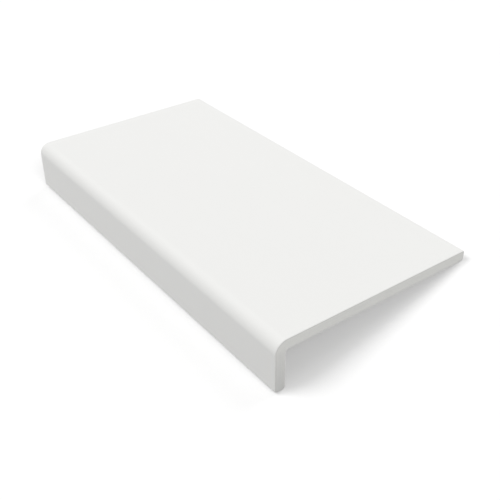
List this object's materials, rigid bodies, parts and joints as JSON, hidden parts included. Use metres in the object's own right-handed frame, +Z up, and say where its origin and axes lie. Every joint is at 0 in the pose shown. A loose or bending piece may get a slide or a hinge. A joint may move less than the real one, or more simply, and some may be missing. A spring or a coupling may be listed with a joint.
{
  "type": "window sill board",
  "caption": "White foamed PVC window sill board with a round nose and a short leg at its front, one extruded piece sawn square.",
  "frame": {"origin": "on the floor, under the middle of the board's box as it lies", "axes": "+X along the nose, +Y from the leg to the back edge, +Z up"},
  "size_m": [0.4, 0.2048, 0.0466],
  "materials": {
    "cellular_pvc": "satin"
  },
  "bodies": {
    "root": {"sill_board": "cellular_pvc"}
  },
  "joints": []
}
